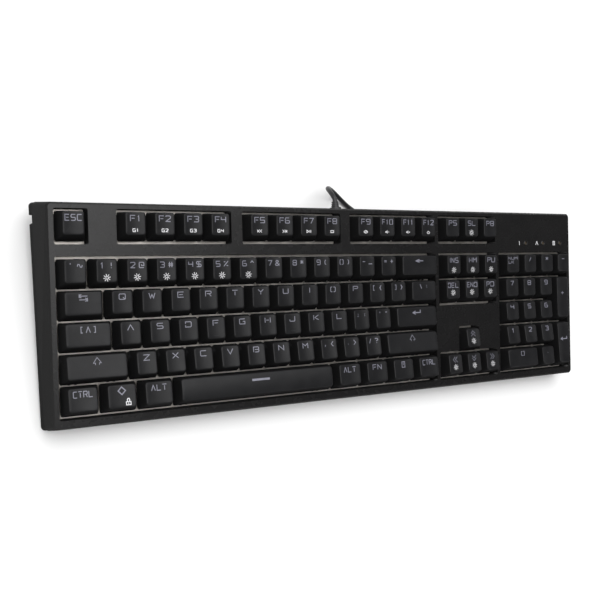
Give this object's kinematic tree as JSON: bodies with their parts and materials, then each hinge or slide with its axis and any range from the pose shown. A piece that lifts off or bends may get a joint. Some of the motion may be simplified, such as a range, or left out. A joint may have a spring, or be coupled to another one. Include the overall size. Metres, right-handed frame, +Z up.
{
  "type": "mechanical keyboard",
  "caption": "Full-size wired mechanical keyboard with sprung keys, separate key windows, status lights, folding rear feet and a stowed cord.",
  "frame": {"origin": "on the desk, under the middle of the keyboard, standing on its folded-out feet", "axes": "+X to the right along the key rows, +Y to the rear, +Z up"},
  "size_m": [0.4434, 0.1599, 0.053],
  "materials": {
    "case_top": "fine texture, satin",
    "case_bottom": "fine texture",
    "plate_metal": "satin grey",
    "board": "solder mask",
    "switch_body": "moulded",
    "switch_cover": "smoky",
    "spring_metal": "bright",
    "led_lens": "milky",
    "stabilizer_plastic": "moulded",
    "wire_steel": "bright",
    "status_lens": "smoky lens",
    "chip": "moulded",
    "socket_plastic": "moulded",
    "screw_steel": "zinc",
    "pad_rubber": "matte",
    "grommet_rubber": "matte",
    "cord_jacket": "satin",
    "tie_strap": "matte",
    "plug_rubber": "satin",
    "plug_metal": "nickel",
    "keycap_plastic": "fine matte tops, glossier sides",
    "foot_plastic": "moulded"
  },
  "bodies": {
    "case": {"bottom_case": "case_bottom", "top_case": "case_top", "switch_plate": "plate_metal", "circuit_board": "board", "switch_bases": "switch_body", "switch_covers": "switch_cover", "switch_springs": "spring_metal", "backlight_leds": "led_lens", "stabilizer_housings": "stabilizer_plastic", "stabilizer_wires": "wire_steel", "status_leds": "status_lens", "controller_chip": "chip", "cable_socket": "socket_plastic", "screws": "screw_steel", "rubber_pads": "pad_rubber", "cable_grommet": "grommet_rubber", "inner_lead": "cord_jacket", "cord_tube": "cord_jacket", "cord_hank": "cord_jacket", "cord_tie": "tie_strap", "plug_grip": "plug_rubber", "plug_shell": "plug_metal"},
    "esc_key": {"esc_key": "keycap_plastic"},
    "f1_f4_keys": {"f1_f4_keys": "keycap_plastic"},
    "f5_f8_keys": {"f5_f8_keys": "keycap_plastic"},
    "f9_f12_keys": {"f9_f12_keys": "keycap_plastic"},
    "print_scroll_pause_keys": {"print_scroll_pause_keys": "keycap_plastic"},
    "digit_row_keys": {"digit_row_keys": "keycap_plastic"},
    "backspace_key": {"backspace_key": "keycap_plastic"},
    "tab_key": {"tab_key": "keycap_plastic"},
    "upper_row_keys": {"upper_row_keys": "keycap_plastic"},
    "caps_lock_key": {"caps_lock_key": "keycap_plastic"},
    "middle_row_keys": {"middle_row_keys": "keycap_plastic"},
    "enter_key": {"enter_key": "keycap_plastic"},
    "left_shift_key": {"left_shift_key": "keycap_plastic"},
    "lower_row_keys": {"lower_row_keys": "keycap_plastic"},
    "right_shift_key": {"right_shift_key": "keycap_plastic"},
    "left_ctrl_key": {"left_ctrl_key": "keycap_plastic"},
    "left_super_key": {"left_super_key": "keycap_plastic"},
    "left_alt_key": {"left_alt_key": "keycap_plastic"},
    "space_key": {"space_key": "keycap_plastic"},
    "right_alt_key": {"right_alt_key": "keycap_plastic"},
    "fn_key": {"fn_key": "keycap_plastic"},
    "menu_key": {"menu_key": "keycap_plastic"},
    "right_ctrl_key": {"right_ctrl_key": "keycap_plastic"},
    "arrow_up_key": {"arrow_up_key": "keycap_plastic"},
    "arrow_left_key": {"arrow_left_key": "keycap_plastic"},
    "arrow_down_key": {"arrow_down_key": "keycap_plastic"},
    "arrow_right_key": {"arrow_right_key": "keycap_plastic"},
    "navigation_keys": {"navigation_keys": "keycap_plastic"},
    "pad_operator_keys": {"pad_operator_keys": "keycap_plastic"},
    "pad_digit_keys": {"pad_digit_keys": "keycap_plastic"},
    "pad_zero_key": {"pad_zero_key": "keycap_plastic"},
    "pad_plus_key": {"pad_plus_key": "keycap_plastic"},
    "pad_enter_key": {"pad_enter_key": "keycap_plastic"},
    "space_wire": {"space_wire": "wire_steel"},
    "foot_left": {"foot_left": "foot_plastic", "foot_tip_left": "pad_rubber"},
    "foot_right": {"foot_right": "foot_plastic", "foot_tip_right": "pad_rubber"}
  },
  "joints": [
    {"name": "esc_press", "type": "slide", "parent": "case", "child": "esc_key", "axis": [0, 0.2011, -0.9796], "range_m": [0, 0.004], "stiffness_N_per_m": 80, "springref_m": -0.00375, "deforming": ["switch_springs"]},
    {"name": "f1_f4_press", "type": "slide", "parent": "case", "child": "f1_f4_keys", "axis": [0, 0.2011, -0.9796], "range_m": [0, 0.004], "stiffness_N_per_m": 320, "springref_m": -0.00375, "deforming": ["switch_springs"]},
    {"name": "f5_f8_press", "type": "slide", "parent": "case", "child": "f5_f8_keys", "axis": [0, 0.2011, -0.9796], "range_m": [0, 0.004], "stiffness_N_per_m": 320, "springref_m": -0.00375, "deforming": ["switch_springs"]},
    {"name": "f9_f12_press", "type": "slide", "parent": "case", "child": "f9_f12_keys", "axis": [0, 0.2011, -0.9796], "range_m": [0, 0.004], "stiffness_N_per_m": 320, "springref_m": -0.00375, "deforming": ["switch_springs"]},
    {"name": "print_scroll_pause_press", "type": "slide", "parent": "case", "child": "print_scroll_pause_keys", "axis": [0, 0.2011, -0.9796], "range_m": [0, 0.004], "stiffness_N_per_m": 240, "springref_m": -0.00375, "deforming": ["switch_springs"]},
    {"name": "digit_row_press", "type": "slide", "parent": "case", "child": "digit_row_keys", "axis": [0, 0.2011, -0.9796], "range_m": [0, 0.004], "stiffness_N_per_m": 1040, "springref_m": -0.00375, "deforming": ["switch_springs"]},
    {"name": "backspace_press", "type": "slide", "parent": "case", "child": "backspace_key", "axis": [0, 0.2011, -0.9796], "range_m": [0, 0.004], "stiffness_N_per_m": 80, "springref_m": -0.00375, "deforming": ["switch_springs"]},
    {"name": "tab_press", "type": "slide", "parent": "case", "child": "tab_key", "axis": [0, 0.2011, -0.9796], "range_m": [0, 0.004], "stiffness_N_per_m": 80, "springref_m": -0.00375, "deforming": ["switch_springs"]},
    {"name": "upper_row_press", "type": "slide", "parent": "case", "child": "upper_row_keys", "axis": [0, 0.2011, -0.9796], "range_m": [0, 0.004], "stiffness_N_per_m": 1040, "springref_m": -0.00375, "deforming": ["switch_springs"]},
    {"name": "caps_lock_press", "type": "slide", "parent": "case", "child": "caps_lock_key", "axis": [0, 0.2011, -0.9796], "range_m": [0, 0.004], "stiffness_N_per_m": 80, "springref_m": -0.00375, "deforming": ["switch_springs"]},
    {"name": "middle_row_press", "type": "slide", "parent": "case", "child": "middle_row_keys", "axis": [0, 0.2011, -0.9796], "range_m": [0, 0.004], "stiffness_N_per_m": 880, "springref_m": -0.00375, "deforming": ["switch_springs"]},
    {"name": "enter_press", "type": "slide", "parent": "case", "child": "enter_key", "axis": [0, 0.2011, -0.9796], "range_m": [0, 0.004], "stiffness_N_per_m": 80, "springref_m": -0.00375, "deforming": ["switch_springs"]},
    {"name": "left_shift_press", "type": "slide", "parent": "case", "child": "left_shift_key", "axis": [0, 0.2011, -0.9796], "range_m": [0, 0.004], "stiffness_N_per_m": 80, "springref_m": -0.00375, "deforming": ["switch_springs"]},
    {"name": "lower_row_press", "type": "slide", "parent": "case", "child": "lower_row_keys", "axis": [0, 0.2011, -0.9796], "range_m": [0, 0.004], "stiffness_N_per_m": 800, "springref_m": -0.00375, "deforming": ["switch_springs"]},
    {"name": "right_shift_press", "type": "slide", "parent": "case", "child": "right_shift_key", "axis": [0, 0.2011, -0.9796], "range_m": [0, 0.004], "stiffness_N_per_m": 80, "springref_m": -0.00375, "deforming": ["switch_springs"]},
    {"name": "left_ctrl_press", "type": "slide", "parent": "case", "child": "left_ctrl_key", "axis": [0, 0.2011, -0.9796], "range_m": [0, 0.004], "stiffness_N_per_m": 80, "springref_m": -0.00375, "deforming": ["switch_springs"]},
    {"name": "left_super_press", "type": "slide", "parent": "case", "child": "left_super_key", "axis": [0, 0.2011, -0.9796], "range_m": [0, 0.004], "stiffness_N_per_m": 80, "springref_m": -0.00375, "deforming": ["switch_springs"]},
    {"name": "left_alt_press", "type": "slide", "parent": "case", "child": "left_alt_key", "axis": [0, 0.2011, -0.9796], "range_m": [0, 0.004], "stiffness_N_per_m": 80, "springref_m": -0.00375, "deforming": ["switch_springs"]},
    {"name": "space_press", "type": "slide", "parent": "case", "child": "space_key", "axis": [0, 0.2011, -0.9796], "range_m": [0, 0.004], "stiffness_N_per_m": 80, "springref_m": -0.00375, "deforming": ["switch_springs"]},
    {"name": "right_alt_press", "type": "slide", "parent": "case", "child": "right_alt_key", "axis": [0, 0.2011, -0.9796], "range_m": [0, 0.004], "stiffness_N_per_m": 80, "springref_m": -0.00375, "deforming": ["switch_springs"]},
    {"name": "fn_press", "type": "slide", "parent": "case", "child": "fn_key", "axis": [0, 0.2011, -0.9796], "range_m": [0, 0.004], "stiffness_N_per_m": 80, "springref_m": -0.00375, "deforming": ["switch_springs"]},
    {"name": "menu_press", "type": "slide", "parent": "case", "child": "menu_key", "axis": [0, 0.2011, -0.9796], "range_m": [0, 0.004], "stiffness_N_per_m": 80, "springref_m": -0.00375, "deforming": ["switch_springs"]},
    {"name": "right_ctrl_press", "type": "slide", "parent": "case", "child": "right_ctrl_key", "axis": [0, 0.2011, -0.9796], "range_m": [0, 0.004], "stiffness_N_per_m": 80, "springref_m": -0.00375, "deforming": ["switch_springs"]},
    {"name": "arrow_up_press", "type": "slide", "parent": "case", "child": "arrow_up_key", "axis": [0, 0.2011, -0.9796], "range_m": [0, 0.004], "stiffness_N_per_m": 80, "springref_m": -0.00375, "deforming": ["switch_springs"]},
    {"name": "arrow_left_press", "type": "slide", "parent": "case", "child": "arrow_left_key", "axis": [0, 0.2011, -0.9796], "range_m": [0, 0.004], "stiffness_N_per_m": 80, "springref_m": -0.00375, "deforming": ["switch_springs"]},
    {"name": "arrow_down_press", "type": "slide", "parent": "case", "child": "arrow_down_key", "axis": [0, 0.2011, -0.9796], "range_m": [0, 0.004], "stiffness_N_per_m": 80, "springref_m": -0.00375, "deforming": ["switch_springs"]},
    {"name": "arrow_right_press", "type": "slide", "parent": "case", "child": "arrow_right_key", "axis": [0, 0.2011, -0.9796], "range_m": [0, 0.004], "stiffness_N_per_m": 80, "springref_m": -0.00375, "deforming": ["switch_springs"]},
    {"name": "navigation_press", "type": "slide", "parent": "case", "child": "navigation_keys", "axis": [0, 0.2011, -0.9796], "range_m": [0, 0.004], "stiffness_N_per_m": 480, "springref_m": -0.00375, "deforming": ["switch_springs"]},
    {"name": "pad_operator_press", "type": "slide", "parent": "case", "child": "pad_operator_keys", "axis": [0, 0.2011, -0.9796], "range_m": [0, 0.004], "stiffness_N_per_m": 320, "springref_m": -0.00375, "deforming": ["switch_springs"]},
    {"name": "pad_digit_press", "type": "slide", "parent": "case", "child": "pad_digit_keys", "axis": [0, 0.2011, -0.9796], "range_m": [0, 0.004], "stiffness_N_per_m": 800, "springref_m": -0.00375, "deforming": ["switch_springs"]},
    {"name": "pad_zero_press", "type": "slide", "parent": "case", "child": "pad_zero_key", "axis": [0, 0.2011, -0.9796], "range_m": [0, 0.004], "stiffness_N_per_m": 80, "springref_m": -0.00375, "deforming": ["switch_springs"]},
    {"name": "pad_plus_press", "type": "slide", "parent": "case", "child": "pad_plus_key", "axis": [0, 0.2011, -0.9796], "range_m": [0, 0.004], "stiffness_N_per_m": 80, "springref_m": -0.00375, "deforming": ["switch_springs"]},
    {"name": "pad_enter_press", "type": "slide", "parent": "case", "child": "pad_enter_key", "axis": [0, 0.2011, -0.9796], "range_m": [0, 0.004], "stiffness_N_per_m": 80, "springref_m": -0.00375, "deforming": ["switch_springs"]},
    {"name": "space_wire_turn", "type": "hinge", "parent": "case", "child": "space_wire", "pos_m": [-0.08334, -0.0621, 0.01385], "axis": [-1, 0, 0], "range_deg": [0, 37]},
    {"name": "foot_left_fold", "type": "hinge", "parent": "case", "child": "foot_left", "pos_m": [-0.182, 0.04625, 0.01722], "axis": [-1, 0, 0], "range_deg": [0, 93]},
    {"name": "foot_right_fold", "type": "hinge", "parent": "case", "child": "foot_right", "pos_m": [0.182, 0.04625, 0.01722], "axis": [-1, 0, 0], "range_deg": [0, 93]}
  ],
  "couplings": [
    {"joint": "space_wire_turn", "follows": "space_press", "rad_per_m": 158.91}
  ]
}
